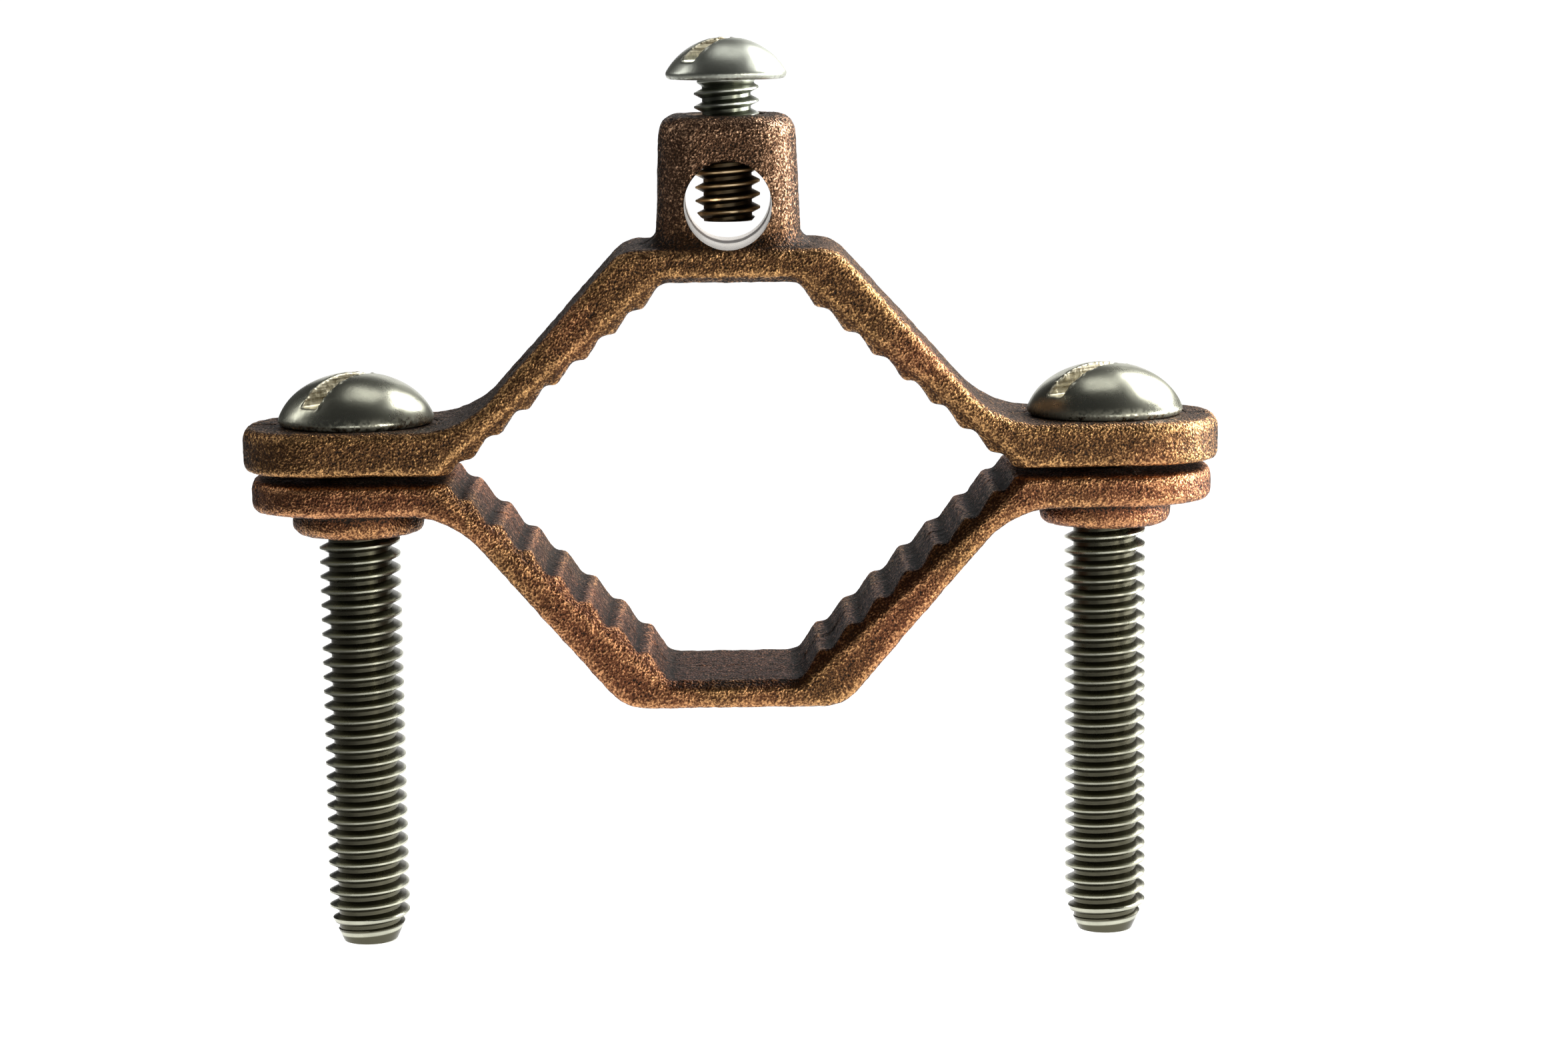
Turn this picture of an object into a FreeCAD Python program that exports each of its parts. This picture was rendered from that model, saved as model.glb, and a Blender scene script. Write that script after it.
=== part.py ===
"""Pipe ground clamp: two cast jaws, two clamp screws and a wire lug screw.

Frame: the origin is on the axis of the clamped pipe, midway between the jaws' inner flats.
The pipe runs along Y, the two clamp screws stand at -X and +X, and +Z points to the wire lug.
All sizes are in millimetres.
"""
import FreeCAD, Part
import math
import os

V = FreeCAD.Vector

# ---------------------------------------------------------------- driving dimensions
JAW_DEPTH = 19.0            # length of both jaws along the pipe
SCREW_OFFSET = 36.0         # clamp screw axis to pipe axis
OPENING_HALF_HEIGHT = 18.9  # pipe axis to either inner flat
EAR_END_RADIUS = 8.0        # rounding of the ear ends, seen from above

# upper jaw
UPPER_REACH = 46.7          # pipe axis to the end of an ear
UPPER_EAR_BOTTOM = 0.9
UPPER_EAR_TOP = 5.2
PLATE_TOP = 22.1            # outer face of the plate that carries the lug
PLATE_HALF_WIDTH = 10.1     # to the sharp corner between plate and arm
PLATE_CORNER_RADIUS = 3.6
UPPER_ARM_FOOT = 25.3       # where the outer face of the arm meets the top of the ear
ARM_FOOT_RADIUS = 9.5       # the large cast fillet there
SPOT_FACE_RADIUS = 7.8      # machined seat under each screw head
CLEARANCE_HOLE_RADIUS = 4.35

# lower jaw
LOWER_REACH = 46.0
LOWER_EAR_TOP = 0.4
LOWER_EAR_BOTTOM = -2.8
LOWER_BOTTOM = -21.5
LOWER_HALF_WIDTH = 10.4     # to the sharp corner between bottom and arm
LOWER_CORNER_RADIUS = 4.2
LOWER_ARM_FOOT = 26.6
LOWER_FOOT_RADIUS = 9.0
BOSS_RADIUS = 6.3           # round boss below each lower ear
BOSS_BOTTOM = -5.4
BOSS_EDGE = 1.1
TAPPED_HOLE_RADIUS = 3.95   # plain stand-in for the 5/16-18 thread

# gripping teeth: flat treads and steep risers, like a stair
TREAD_RUN = 1.18
TREAD_DROP = 0.05
UPPER_TEETH = 7
UPPER_FIRST_TIP = (8.15, 16.40)
UPPER_PITCH = (2.713, 2.325)
LOWER_TEETH = 7
LOWER_FIRST_TIP = (8.10, 16.05)
LOWER_PITCH = (2.753, 2.490)
TIP_RADIUS = 0.40
VALLEY_RADIUS = 0.50
FLAT_CORNER_RADIUS = 1.1

# bevel along the front and back edges of the opening
BEVEL_DEPTH = 1.4           # into the jaw, along the pipe
BEVEL_ON_FLAT = 0.7
BEVEL_ON_ARM = 1.5
PLUG_OVERRUN = 0.4          # the cutting plug starts this share of the bevel outside the jaw
PLUG_REACH = 8.0            # and runs this far past the parting plane

# wire lug, one casting with the upper jaw
LUG_TOP = 34.3
LUG_ROOT = 21.0             # its foot is buried in the plate
LUG_TOP_SIZE = (12.8, 15.4)
LUG_ROOT_SIZE = (13.8, 16.4)
LUG_CORNER_RADIUS = 3.6
LUG_TOP_EDGE = 1.6
LUG_FOOT_FILLET = 1.5
WIRE_BORE_RADIUS = 4.125
WIRE_BORE_HEIGHT = 26.1
LUG_THREAD_RADIUS = 3.15    # plain stand-in for the 1/4-20 thread
COUNTERSINK = 0.6

# rounding of the cast edges
OUTER_EDGE = 0.8            # along the arms, the plate and the outer faces of the ears
PARTING_EDGE = 0.8          # round the ear faces that meet at the parting plane

# clamp screws: slotted round head, 5/16-18 UNC x 2 in
CLAMP_SHANK_RADIUS = 3.90
CLAMP_LENGTH = 50.8
CLAMP_HEAD_RADIUS = 7.5
CLAMP_HEAD_HEIGHT = 5.0
CLAMP_SHOULDER = 71.0       # steepness of the dome where it meets the rim, degrees
CLAMP_SLOT_WIDTH = 2.0
CLAMP_SLOT_DEPTH = 2.9
CLAMP_TIP_RADIUS = 2.6
CLAMP_TIP_LENGTH = 2.9
LEFT_SLOT_TURN = 37.0       # degrees from -Y towards -X
RIGHT_SLOT_TURN = 52.0

# lug screw: slotted round head, 1/4-20 UNC
LUG_SHANK_RADIUS = 3.10
LUG_SCREW_LENGTH = 13.5
LUG_HEAD_RADIUS = 5.8
LUG_HEAD_HEIGHT = 4.0
LUG_SHOULDER = 61.0
LUG_SLOT_WIDTH = 1.7
LUG_SLOT_DEPTH = 2.3
LUG_TIP_RADIUS = 2.3
LUG_TIP_LENGTH = 0.9
LUG_SLOT_TURN = 48.0
LUG_HEAD_SEAT = 37.7        # underside of the head, screw as it stands open

HEAD_RIM = 0.6              # height of the widest part of a head above its underside
HEAD_RIM_INSET = 0.45
RIM_BULGE_INSET = 0.12      # the rim's small arc passes this far inside the head radius
RIM_BULGE_HEIGHT = 0.24
DOME_HANDLE = 0.415         # length of the dome curve's end tangents, per unit of head radius

HALF_DEPTH = JAW_DEPTH / 2
FAR = 60.0                  # longer than anything on the clamp
TOUCH = 1e-3                # places closer than this are the same place
ROUND_END_START = SCREW_OFFSET + 3.0    # beyond this an ear is rounded, seen from above
STEEP = 0.95                # Z share of the direction of an edge that counts as upright
OUTER_SIDE = 2.5            # edges this far past the tooth crests belong to the outer face
PARTING_BAND = 1.0          # and edges this near the parting face belong to that face
BOSS_OVERLAP = 1.0          # each boss starts this deep inside its ear


# ---------------------------------------------------------------- outlines
def rounded_wire(corners, place):
    """Closed wire through (u, v, radius) corners; place(u, v) gives the 3-D point."""
    edges = []
    ends = []
    count = len(corners)
    for i in range(count):
        u, v, radius = corners[i]
        before = corners[i - 1]
        after = corners[(i + 1) % count]
        here = V(u, v, 0)
        to_before = (V(before[0], before[1], 0) - here).normalize()
        to_after = (V(after[0], after[1], 0) - here).normalize()
        if radius <= 0:
            ends.append((here, None, here))
            continue
        half = to_before.getAngle(to_after) / 2
        reach = radius / math.tan(half)
        middle = (to_before + to_after).normalize()
        centre = here + middle * (radius / math.sin(half))
        ends.append((here + to_before * reach, centre - middle * radius, here + to_after * reach))
    for i in range(count):
        start, bulge, stop = ends[i]
        following = ends[(i + 1) % count][0]
        if bulge is not None:
            arc = Part.Arc(place(start.x, start.y), place(bulge.x, bulge.y), place(stop.x, stop.y))
            edges.append(arc.toShape())
        if stop.distanceToPoint(following) > TOUCH:
            edges.append(Part.makeLine(place(stop.x, stop.y), place(following.x, following.y)))
    return Part.Wire(edges)


def mirrored(half):
    """The right half of an outline, followed by its mirror image in the plane X = 0."""
    return half + [(-x, z, radius) for x, z, radius in reversed(half)]


def front_view(y):
    """Places an outline drawn in X and Z on the plane at the given Y."""
    return lambda x, z: V(x, y, z)


def plan_view(z):
    """Places an outline drawn in X and Y on the plane at the given Z."""
    return lambda x, y: V(x, y, z)


def tooth_corners(teeth, first_tip, pitch, flat, ear):
    """Corners of one toothed arm, from the inner flat out to the ear. Heights are upward."""
    riser_run = (pitch[0] - TREAD_RUN) / (pitch[1] + TREAD_DROP)
    tip_x, tip_z = first_tip
    corners = [(tip_x - (flat - tip_z) * riser_run, flat, FLAT_CORNER_RADIUS)]
    for _ in range(teeth):
        corners.append((tip_x, tip_z, TIP_RADIUS))
        corners.append((tip_x + TREAD_RUN, tip_z + TREAD_DROP, VALLEY_RADIUS))
        tip_x = tip_x + pitch[0]
        tip_z = tip_z - pitch[1]
    valley_x, valley_z, _ = corners[-1]
    corners.append((valley_x + (valley_z - ear) * riser_run, ear, TIP_RADIUS))
    return corners


# ---------------------------------------------------------------- shared cuts
def bevel_plug(side, first_tip, pitch, sign):
    """A tapered plug that bevels one edge of the opening; side is -1 front or +1 back."""
    slope = pitch[1] / pitch[0]
    wires = []
    for outward in (1 + PLUG_OVERRUN, 0.0):
        flat = OPENING_HALF_HEIGHT + BEVEL_ON_FLAT * outward
        crest = first_tip[1] + first_tip[0] * slope + BEVEL_ON_ARM * outward * math.hypot(1, slope)
        half = [
            ((crest - flat) / slope, sign * flat, 0),
            ((crest + PLUG_REACH) / slope, -sign * PLUG_REACH, 0),
        ]
        y = side * (HALF_DEPTH - BEVEL_DEPTH * (1 - outward))
        wires.append(rounded_wire(mirrored(half), front_view(y)))
    return Part.makeLoft(wires, True, True)


def ear_plan(reach):
    """A bar with rounded ends: the jaw as seen from above."""
    corners = [(reach, HALF_DEPTH, EAR_END_RADIUS), (reach, -HALF_DEPTH, EAR_END_RADIUS)]
    wire = rounded_wire(mirrored(corners), plan_view(-FAR))
    return Part.Face(wire).extrude(V(0, 0, 2 * FAR))


def upright(radius, x, bottom, top):
    return Part.makeCylinder(radius, top - bottom, V(x, 0, bottom), V(0, 0, 1))


def edge_middle(edge):
    return edge.valueAt((edge.FirstParameter + edge.LastParameter) / 2)


def rim_edges(shape, wanted):
    """Edges round the front, back and ends of a jaw whose middle satisfies wanted(point)."""
    chosen = []
    for edge in shape.Edges:
        middle = edge_middle(edge)
        on_face = abs(abs(middle.y) - HALF_DEPTH) < TOUCH
        on_end = abs(middle.x) > ROUND_END_START and edge.BoundBox.ZLength < TOUCH
        upright_seam = abs(edge.tangentAt(edge.FirstParameter).z) > STEEP
        if (on_face or on_end) and not upright_seam and wanted(middle):
            chosen.append(edge)
    return chosen


def drilled(shape, radius):
    """The jaw with one hole for each clamp screw."""
    for x in (-SCREW_OFFSET, SCREW_OFFSET):
        shape = shape.cut(upright(radius, x, -FAR, FAR))
    return shape


# ---------------------------------------------------------------- castings
def jaw_blank(half, reach, first_tip, pitch, sign):
    """A jaw before its edges are rounded: toothed outline, rounded ears, bevelled opening."""
    wire = rounded_wire(mirrored(half), front_view(-HALF_DEPTH))
    jaw = Part.Face(wire).extrude(V(0, JAW_DEPTH, 0))
    jaw = jaw.common(ear_plan(reach))
    for side in (-1, 1):
        jaw = jaw.cut(bevel_plug(side, first_tip, pitch, sign))
    return jaw.Solids[0]


def lug_section(size, z):
    half_x = size[0] / 2
    half_y = size[1] / 2
    corners = mirrored([(half_x, half_y, LUG_CORNER_RADIUS), (half_x, -half_y, LUG_CORNER_RADIUS)])
    return rounded_wire(corners, plan_view(z))


def lug_block():
    """The tapered block above the plate, its top edge rounded as cast."""
    block = Part.makeLoft([lug_section(LUG_ROOT_SIZE, LUG_ROOT), lug_section(LUG_TOP_SIZE, LUG_TOP)], True)
    top = [edge for edge in block.Edges if edge_middle(edge).z > LUG_TOP - TOUCH]
    return block.makeFillet(LUG_TOP_EDGE, top)


def upper_jaw():
    half = tooth_corners(UPPER_TEETH, UPPER_FIRST_TIP, UPPER_PITCH,
                         OPENING_HALF_HEIGHT, UPPER_EAR_BOTTOM)
    half = half + [
        (UPPER_REACH, UPPER_EAR_BOTTOM, 0),
        (UPPER_REACH, UPPER_EAR_TOP, 0),
        (UPPER_ARM_FOOT, UPPER_EAR_TOP, ARM_FOOT_RADIUS),
        (PLATE_HALF_WIDTH, PLATE_TOP, PLATE_CORNER_RADIUS),
    ]
    jaw = jaw_blank(half, UPPER_REACH, UPPER_FIRST_TIP, UPPER_PITCH, 1)
    slope = UPPER_PITCH[1] / UPPER_PITCH[0]

    def outside(point):
        crest = UPPER_FIRST_TIP[1] + (UPPER_FIRST_TIP[0] - abs(point.x)) * slope
        beyond_teeth = point.z > min(crest, OPENING_HALF_HEIGHT) + OUTER_SIDE
        return beyond_teeth and point.z > UPPER_EAR_BOTTOM + PARTING_BAND

    jaw = jaw.makeFillet(OUTER_EDGE, rim_edges(jaw, outside))
    below = rim_edges(jaw, lambda point: abs(point.z - UPPER_EAR_BOTTOM) < TOUCH)
    jaw = jaw.makeFillet(PARTING_EDGE, below)
    jaw = jaw.fuse(lug_block()).removeSplitter().Solids[0]
    foot = [edge for edge in jaw.Edges
            if abs(edge_middle(edge).z - PLATE_TOP) < TOUCH
            and abs(edge_middle(edge).x) < LUG_ROOT_SIZE[0] / 2
            and abs(edge_middle(edge).y) < LUG_ROOT_SIZE[1] / 2]
    jaw = jaw.makeFillet(LUG_FOOT_FILLET, foot)
    jaw = drilled(jaw, CLEARANCE_HOLE_RADIUS)
    for x in (-SCREW_OFFSET, SCREW_OFFSET):
        jaw = jaw.cut(upright(SPOT_FACE_RADIUS, x, UPPER_EAR_TOP, PLATE_TOP))
    bore = Part.makeCylinder(WIRE_BORE_RADIUS, 2 * FAR, V(0, -FAR, WIRE_BORE_HEIGHT), V(0, 1, 0))
    tapped = upright(LUG_THREAD_RADIUS, 0, WIRE_BORE_HEIGHT, FAR)
    rim = Part.makeCone(LUG_THREAD_RADIUS, LUG_THREAD_RADIUS + COUNTERSINK, COUNTERSINK,
                        V(0, 0, LUG_TOP - COUNTERSINK), V(0, 0, 1))
    for cutter in (bore, tapped, rim):
        jaw = jaw.cut(cutter)
    return jaw


def lower_jaw():
    half = tooth_corners(LOWER_TEETH, LOWER_FIRST_TIP, LOWER_PITCH,
                         OPENING_HALF_HEIGHT, -LOWER_EAR_TOP)
    half = [(x, -z, radius) for x, z, radius in half]
    half = half + [
        (LOWER_REACH, LOWER_EAR_TOP, 0),
        (LOWER_REACH, LOWER_EAR_BOTTOM, 0),
        (LOWER_ARM_FOOT, LOWER_EAR_BOTTOM, LOWER_FOOT_RADIUS),
        (LOWER_HALF_WIDTH, LOWER_BOTTOM, LOWER_CORNER_RADIUS),
    ]
    jaw = jaw_blank(half, LOWER_REACH, LOWER_FIRST_TIP, LOWER_PITCH, -1)
    slope = LOWER_PITCH[1] / LOWER_PITCH[0]

    def outside(point):
        crest = LOWER_FIRST_TIP[1] + (LOWER_FIRST_TIP[0] - abs(point.x)) * slope
        beyond_teeth = point.z < -min(crest, OPENING_HALF_HEIGHT) - OUTER_SIDE
        return beyond_teeth and point.z < LOWER_EAR_TOP - PARTING_BAND

    jaw = jaw.makeFillet(OUTER_EDGE, rim_edges(jaw, outside))
    above = rim_edges(jaw, lambda point: abs(point.z - LOWER_EAR_TOP) < TOUCH)
    jaw = jaw.makeFillet(PARTING_EDGE, above)
    for x in (-SCREW_OFFSET, SCREW_OFFSET):
        boss = upright(BOSS_RADIUS, x, BOSS_BOTTOM, LOWER_EAR_BOTTOM + BOSS_OVERLAP)
        rim = [edge for edge in boss.Edges if edge_middle(edge).z < BOSS_BOTTOM + TOUCH]
        jaw = jaw.fuse(boss.makeFillet(BOSS_EDGE, rim))
    jaw = jaw.removeSplitter().Solids[0]
    return drilled(jaw, TAPPED_HOLE_RADIUS)


# ---------------------------------------------------------------- screws
def round_head_screw(shank, length, tip_radius, tip_length, head, slot):
    """A slotted round-head screw, underside at Z = 0; head and slot are tuples of sizes."""
    head_radius, head_height, shoulder = head
    slot_width, slot_depth = slot
    rim = V(head_radius, 0, HEAD_RIM)
    apex = V(0, 0, head_height)
    handle = DOME_HANDLE * head_radius
    steep = math.radians(shoulder)
    dome = Part.BezierCurve()
    dome.setPoles([apex, apex + V(handle, 0, 0),
                   rim + V(-handle * math.cos(steep), 0, handle * math.sin(steep)), rim])
    under = V(head_radius - HEAD_RIM_INSET, 0, 0)
    rim_bulge = V(head_radius - RIM_BULGE_INSET, 0, RIM_BULGE_HEIGHT)
    outline = [
        dome.toShape(),
        Part.Arc(rim, rim_bulge, under).toShape(),
        Part.makeLine(under, V(shank, 0, 0)),
        Part.makeLine(V(shank, 0, 0), V(shank, 0, tip_length - length)),
        Part.makeLine(V(shank, 0, tip_length - length), V(tip_radius, 0, -length)),
        Part.makeLine(V(tip_radius, 0, -length), V(0, 0, -length)),
        Part.makeLine(V(0, 0, -length), apex),
    ]
    screw = Part.Face(Part.Wire(outline)).revolve(V(0, 0, 0), V(0, 0, 1), 360)
    floor = head_height - slot_depth
    slot_box = Part.makeBox(slot_width, 4 * head_radius, head_height,
                            V(-slot_width / 2, -2 * head_radius, floor))
    return screw.cut(slot_box)


def placed(screw, x, seat, turn):
    """The screw on its seat; turn is the slot's angle from -Y towards -X, in degrees."""
    screw = screw.copy()
    screw.rotate(V(0, 0, 0), V(0, 0, 1), -turn)
    screw.translate(V(x, 0, seat))
    return screw


# ---------------------------------------------------------------- assembly
clamp_screw = round_head_screw(
    CLAMP_SHANK_RADIUS, CLAMP_LENGTH, CLAMP_TIP_RADIUS, CLAMP_TIP_LENGTH,
    (CLAMP_HEAD_RADIUS, CLAMP_HEAD_HEIGHT, CLAMP_SHOULDER), (CLAMP_SLOT_WIDTH, CLAMP_SLOT_DEPTH))
lug_screw = round_head_screw(
    LUG_SHANK_RADIUS, LUG_SCREW_LENGTH, LUG_TIP_RADIUS, LUG_TIP_LENGTH,
    (LUG_HEAD_RADIUS, LUG_HEAD_HEIGHT, LUG_SHOULDER), (LUG_SLOT_WIDTH, LUG_SLOT_DEPTH))

pieces = {
    "upper_jaw": upper_jaw(),
    "lower_jaw": lower_jaw(),
    "clamp_screw_left": placed(clamp_screw, -SCREW_OFFSET, UPPER_EAR_TOP, LEFT_SLOT_TURN),
    "clamp_screw_right": placed(clamp_screw, SCREW_OFFSET, UPPER_EAR_TOP, RIGHT_SLOT_TURN),
    "lug_screw": placed(lug_screw, 0, LUG_HEAD_SEAT, LUG_SLOT_TURN),
}

os.makedirs("parts", exist_ok=True)
for name, shape in pieces.items():
    solid = shape.Solids[0]
    print(name, "valid" if solid.isValid() else "INVALID", len(shape.Solids), "solid,",
          round(solid.Volume), "mm3")
    solid.exportStep(f"parts/{name}.step")
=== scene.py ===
# %% [markdown]
# # A ground clamp for a water pipe
# The clamp bonds an electrical system to a metal pipe. Two toothed jaws are cast in bronze,
# two long slotted screws pull them together, and a short screw in the lug on top holds the
# bare copper wire. The frame gives every size and place, and this lesson adds what casting,
# rolling and use leave on the metal: the sandy skin, the helical threads and the burrs.

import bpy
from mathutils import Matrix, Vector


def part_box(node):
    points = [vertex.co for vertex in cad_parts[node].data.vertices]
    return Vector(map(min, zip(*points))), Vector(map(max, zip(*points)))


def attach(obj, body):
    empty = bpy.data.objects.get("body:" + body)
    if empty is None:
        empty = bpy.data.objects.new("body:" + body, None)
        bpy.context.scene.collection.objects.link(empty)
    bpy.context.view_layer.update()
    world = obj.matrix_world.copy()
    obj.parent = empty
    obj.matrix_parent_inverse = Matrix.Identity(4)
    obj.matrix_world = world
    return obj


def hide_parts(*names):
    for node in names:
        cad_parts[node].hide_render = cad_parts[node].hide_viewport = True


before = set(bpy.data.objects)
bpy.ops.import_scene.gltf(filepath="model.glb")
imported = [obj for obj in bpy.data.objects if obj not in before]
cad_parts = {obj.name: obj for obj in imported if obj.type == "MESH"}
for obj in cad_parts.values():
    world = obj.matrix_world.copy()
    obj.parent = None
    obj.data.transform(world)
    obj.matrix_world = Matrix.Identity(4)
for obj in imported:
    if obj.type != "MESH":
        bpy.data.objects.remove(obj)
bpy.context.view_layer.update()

import math

import bmesh
import bpy
from mathutils import Matrix, Vector
from mathutils.geometry import interpolate_bezier

MM = 0.001
DOUBLES = 0.001 * MM

# %% [markdown]
# ## Nodes written as sums
# A material or a Geometry Nodes tree is a long sum, and wiring it by hand hides that. The small
# class below wraps one socket, so that `height * 0.5 + 0.2` adds the Math nodes by itself.
# Every other node comes from `Graph.add`, which sets the node up before it fills its sockets.


# %% A socket that can be added and multiplied
class Wire:
    """One output socket of a node, usable in arithmetic."""

    def __init__(self, graph, node, socket):
        self.graph = graph
        self.node = node
        self.socket = socket

    def named(self, name):
        """Another output of the same node."""
        return Wire(self.graph, self.node, self.node.outputs[name])

    def __add__(self, other):
        return self.graph.maths("ADD", self, other)

    def __sub__(self, other):
        return self.graph.maths("SUBTRACT", self, other)

    def __rsub__(self, other):
        return self.graph.maths("SUBTRACT", other, self)

    def __mul__(self, other):
        return self.graph.maths("MULTIPLY", self, other)

    def __truediv__(self, other):
        return self.graph.maths("DIVIDE", self, other)

    def __rtruediv__(self, other):
        return self.graph.maths("DIVIDE", other, self)

    def __abs__(self):
        return self.graph.maths("ABSOLUTE", self)

    __radd__ = __add__
    __rmul__ = __mul__


# %% One method that adds any node
class Graph:
    """Adds nodes to one tree."""

    def __init__(self, tree):
        self.tree = tree

    def add(self, kind, settings=None, sockets=None):
        """A node of that kind: its settings first, then the values or wires of its sockets."""
        node = self.tree.nodes.new(kind)
        for name, value in (settings or {}).items():
            setattr(node, name, value)
        for key, value in (sockets or {}).items():
            socket = self.open_socket(node.inputs, key)
            if isinstance(value, Wire):
                self.tree.links.new(value.socket, socket)
            else:
                socket.default_value = value
        first_output = next((output for output in node.outputs if output.enabled), None)
        return Wire(self, node, first_output)

    @staticmethod
    def open_socket(sockets, key):
        """The socket at a number, or the one in use with a name: some nodes hide namesakes."""
        if isinstance(key, int):
            return sockets[key]
        return next(socket for socket in sockets if socket.name == key and socket.enabled)

    def maths(self, operation, *values):
        return self.add("ShaderNodeMath", {"operation": operation}, dict(enumerate(values)))

    def smallest(self, a, b):
        return self.maths("MINIMUM", a, b)

    def largest(self, a, b):
        return self.maths("MAXIMUM", a, b)

    def ease(self, value, low, high):
        """0 below low, 1 above high, and a soft step between them."""
        return self.add("ShaderNodeMapRange", {"interpolation_type": "SMOOTHSTEP"},
                        {"Value": value, "From Min": low, "From Max": high})

    def noise(self, coordinates, scale, detail=2.0, roughness=0.5, offset=0.0):
        """A random value from about 0 to 1; offset picks another pattern of the same kind."""
        return self.add("ShaderNodeTexNoise", {"noise_dimensions": "4D"},
                        {"Vector": coordinates, "W": offset, "Scale": scale, "Detail": detail,
                         "Roughness": roughness})

    def parts(self, vector):
        """The node whose outputs X, Y and Z are the parts of a vector."""
        return self.add("ShaderNodeSeparateXYZ", {}, {0: vector})

    def store(self, geometry, name, value):
        """Geometry that carries a number of that name on every point."""
        return self.add("GeometryNodeStoreNamedAttribute", {"data_type": "FLOAT", "domain": "POINT"},
                        {"Geometry": geometry, "Name": name, "Value": value})

    def vector(self, operation, *values, scale=None):
        sockets = dict(enumerate(values))
        if scale is not None:
            sockets["Scale"] = scale
        return self.add("ShaderNodeVectorMath", {"operation": operation}, sockets)

    def blend(self, factor, first, second):
        """A colour between two colours."""
        first = first if isinstance(first, Wire) else (*first, 1.0)
        second = second if isinstance(second, Wire) else (*second, 1.0)
        return self.add("ShaderNodeMix", {"data_type": "RGBA"},
                        {"Factor": factor, "A": first, "B": second})


# %% Trees with named inputs, and pieces made from meshes and modifiers
def new_tree(name, inputs):
    """An empty Geometry Nodes tree, with its graph and its named inputs as wires."""
    tree = bpy.data.node_groups.new(name, "GeometryNodeTree")
    for label, kind in inputs.items():
        tree.interface.new_socket(label, in_out="INPUT", socket_type="NodeSocket" + kind)
    tree.interface.new_socket("Geometry", in_out="OUTPUT", socket_type="NodeSocketGeometry")
    graph = Graph(tree)
    group = graph.add("NodeGroupInput")
    return tree, graph, {label: group.named(label) for label in inputs}


def end_tree(graph, geometry, material):
    """Every tree ends alike: real geometry, its material, the output."""
    real = graph.add("GeometryNodeRealizeInstances", {}, {"Geometry": geometry})
    painted = graph.add("GeometryNodeSetMaterial", {}, {"Geometry": real, "Material": material})
    graph.add("NodeGroupOutput", {}, {"Geometry": painted})


def new_piece(name, mesh):
    piece = bpy.data.objects.new(name, mesh)
    bpy.context.scene.collection.objects.link(piece)
    return piece


def piece_from(shape, name):
    """A new piece from a shape built in bmesh, which is freed."""
    mesh = bpy.data.meshes.new(name)
    shape.to_mesh(mesh)
    shape.free()
    return new_piece(name, mesh)


def freeze(piece):
    """Makes what the modifiers show the piece's own mesh, and removes the modifiers."""
    depsgraph = bpy.context.evaluated_depsgraph_get()
    shown = bpy.data.meshes.new_from_object(
        piece.evaluated_get(depsgraph), preserve_all_data_layers=True, depsgraph=depsgraph)
    piece.modifiers.clear()
    piece.data = shown


def grow(piece, tree, values):
    """Runs a Geometry Nodes tree on a piece and keeps the result as its mesh."""
    nodes = piece.modifiers.new(tree.name, "NODES")
    nodes.node_group = tree
    for item in tree.interface.items_tree:
        if item.name in values:
            nodes[item.identifier] = values[item.name]
    freeze(piece)


def open_edges(piece):
    """How many edges don't have exactly two faces: 0 on a closed mesh."""
    shape = bmesh.new()
    shape.from_mesh(piece.data)
    count = sum(1 for edge in shape.edges if len(edge.link_faces) != 2)
    shape.free()
    return count


def report(piece):
    print(piece.name, "open edges", open_edges(piece), "faces", len(piece.data.polygons))


# %% [markdown]
# ## Tumbled bronze
# The jaws come out of sand moulds and are tumbled in a drum with abrasive. High grains and
# edges are rubbed to bright gold, hollows keep the dark oxide, and the colour drifts between
# brown, gold and copper pink, a little differently from one pour to the next. The gold on proud
# edges is partly that rubbing and partly a painted highlight. The finish follows the grain, which
# is a noise in space, and two numbers that the cast skin stores: one is high where an edge stands
# proud, and `flank` is 1 on the flat sides that rub in the drum and 0 on the toothed, upper and
# inner faces, which are kept darker, partly because they rub less and partly as painted shade.
# Around the lug the metal turns pinker, a painted sheen of the light there, which begins at one
# height and is whole at a second one a little higher.


# %% A material and the shader at its end
def shader(name):
    """An empty material, its graph, and the place on the piece in metres."""
    material = bpy.data.materials.new(name)
    material.use_nodes = True
    material.node_tree.nodes.clear()
    graph = Graph(material.node_tree)
    place = graph.add("ShaderNodeTexCoord").named("Object")
    return material, graph, place


def finish_shader(graph, sockets):
    """Joins a Principled shader to the output."""
    surface = graph.add("ShaderNodeBsdfPrincipled", {}, sockets)
    graph.add("ShaderNodeOutputMaterial", {}, {"Surface": surface})


def attribute(graph, name):
    return graph.add("ShaderNodeAttribute", {"attribute_name": name}).named("Fac")


def bump(graph, height, distance):
    return graph.add("ShaderNodeBump", {}, {"Height": height, "Distance": distance})


# %% Sizes, limits and colours of cast bronze
GRAINS_PER_METRE = 4500.0
LUMPS_PER_METRE = 1600.0
DUST_PER_METRE = 9000.0
DRIFTS_PER_METRE = 75.0
GRAIN_RELIEF = 0.23 * MM
# How much brighter proud edges are: partly rubbing, partly a painted highlight.
EDGE_RUBBING_AND_HIGHLIGHT = 0.24
# How much darker the toothed, upper and inner faces are: partly less rubbing, partly painted shade.
SHELTER_AND_SHADE = 0.12
PITS_FROM, PITS_FULL = 0.47, 0.32
GOLD_FROM, GOLD_FULL = 0.48, 0.80
BROWN = (0.120, 0.058, 0.026)
COPPER_BROWN = (0.150, 0.056, 0.028)
# Brown under the painted pink sheen around the lug.
LUG_SHEEN_BROWN = (0.105, 0.054, 0.030)
GOLD = (0.90, 0.50, 0.20)
COPPER_PINK = (0.86, 0.42, 0.19)
# Bright pink of the painted sheen around the lug.
LUG_SHEEN_PINK = (0.92, 0.56, 0.34)
OXIDE = (0.018, 0.012, 0.008)
# Heights where the painted pink sheen around the lug begins and is whole.
LUG_SHEEN_LOW = 20.0 * MM
LUG_SHEEN_HIGH = 27.0 * MM


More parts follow.
